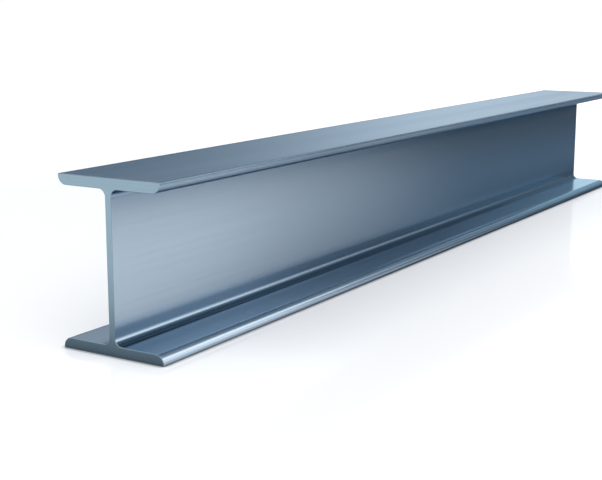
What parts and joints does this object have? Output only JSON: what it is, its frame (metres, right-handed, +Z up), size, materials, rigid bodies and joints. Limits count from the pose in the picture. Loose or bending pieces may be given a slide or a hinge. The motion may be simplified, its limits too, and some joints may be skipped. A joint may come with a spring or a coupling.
{
  "type": "wide-flange steel beam",
  "caption": "Hot-rolled wide-flange steel beam, an I section with broad parallel flanges, filleted web roots and rounded flange toes, sawn square at both ends.",
  "frame": {"origin": "middle of the underside of the lower flange, where the beam lies on the floor", "axes": "+X along the beam's length, +Y across the flanges, +Z up along the web"},
  "size_m": [2.743, 0.26, 0.363],
  "materials": {
    "rolled_steel": "satin"
  },
  "bodies": {
    "root": {"beam": "rolled_steel"}
  },
  "joints": []
}
